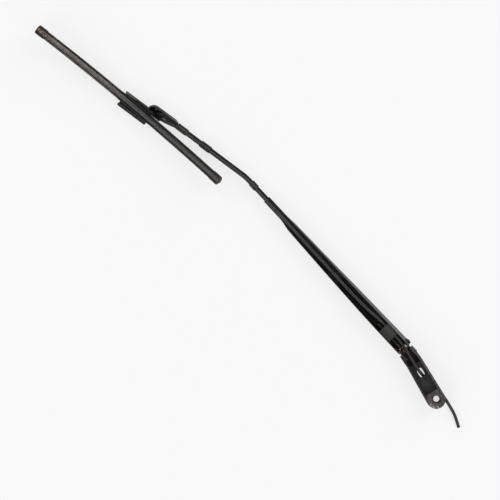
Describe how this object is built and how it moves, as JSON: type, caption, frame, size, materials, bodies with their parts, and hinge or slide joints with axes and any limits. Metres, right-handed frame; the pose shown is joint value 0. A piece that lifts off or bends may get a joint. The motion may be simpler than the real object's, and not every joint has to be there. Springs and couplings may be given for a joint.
{
  "type": "windscreen wiper arm",
  "caption": "Windscreen wiper arm with spindle head, spring-loaded folding channel, bent flat bar, washer hose, jet housing and a swivelling flat blade.",
  "frame": {"origin": "on the axis of the spindle bore, in the plane of the seat for the nut", "axes": "+X along the channel from the spindle towards the blade, +Y towards the side on which the blade lies, +Z along the bore towards the glass"},
  "size_m": [0.8717, 0.097, 0.0381],
  "materials": {
    "black_paint": "satin, worn and dusty",
    "bare_steel": "dull, with rust",
    "black_plastic": "faded, dusty",
    "hose_rubber": "matt",
    "blade_rubber": "matt, dusty"
  },
  "bodies": {
    "head": {"mounting_head": "black_paint", "spring_stud": "bare_steel", "hose_head": "hose_rubber", "hose_tail": "hose_rubber"},
    "arm": {"hinge_rivet_right": "black_paint", "hinge_rivet_left": "black_paint", "arm_channel": "black_paint", "hose_guide": "black_plastic", "hose_hinge": "hose_rubber", "hose_arm": "hose_rubber", "arm_bar": "black_paint", "bar_rivets": "black_paint", "hose_clip_1": "black_plastic", "hose_clip_2": "black_plastic", "hose_clip_3": "black_plastic", "nozzle_housing": "black_plastic", "jet_manifold": "black_plastic", "washer_jets": "bare_steel", "tip_cover": "black_plastic", "adapter": "black_plastic", "pivot_pin": "bare_steel"},
    "spring": {"spring_link": "bare_steel", "tension_spring": "bare_steel"},
    "blade": {"blade_connector": "black_plastic", "rail_front": "bare_steel", "rail_back": "bare_steel", "wiping_rubber": "blade_rubber", "spoiler_outer": "blade_rubber", "spoiler_inner": "blade_rubber", "end_cap_outer": "black_plastic", "end_cap_inner": "black_plastic"}
  },
  "joints": [
    {"name": "arm_fold", "type": "hinge", "parent": "head", "child": "arm", "pos_m": [0.0915, -0.017, -0.004], "axis": [0, 1, 0], "range_deg": [0, 60], "stiffness_Nm_per_rad": 2, "springref_deg": -68.75, "deforming": ["hose_hinge"]},
    {"name": "spring_swing", "type": "hinge", "parent": "head", "child": "spring", "pos_m": [0.0875, -0.0135, 0.0035], "axis": [0, 1, 0], "range_deg": [0, 60], "deforming": ["tension_spring"]},
    {"name": "blade_swivel", "type": "hinge", "parent": "arm", "child": "blade", "pos_m": [0.62658, 0.03247, -0.007], "axis": [-0.1771, 0.9842, 0], "range_deg": [-12, 12]}
  ],
  "couplings": [
    {"joint": "spring_swing", "follows": "arm_fold", "ratio": 0.96}
  ]
}
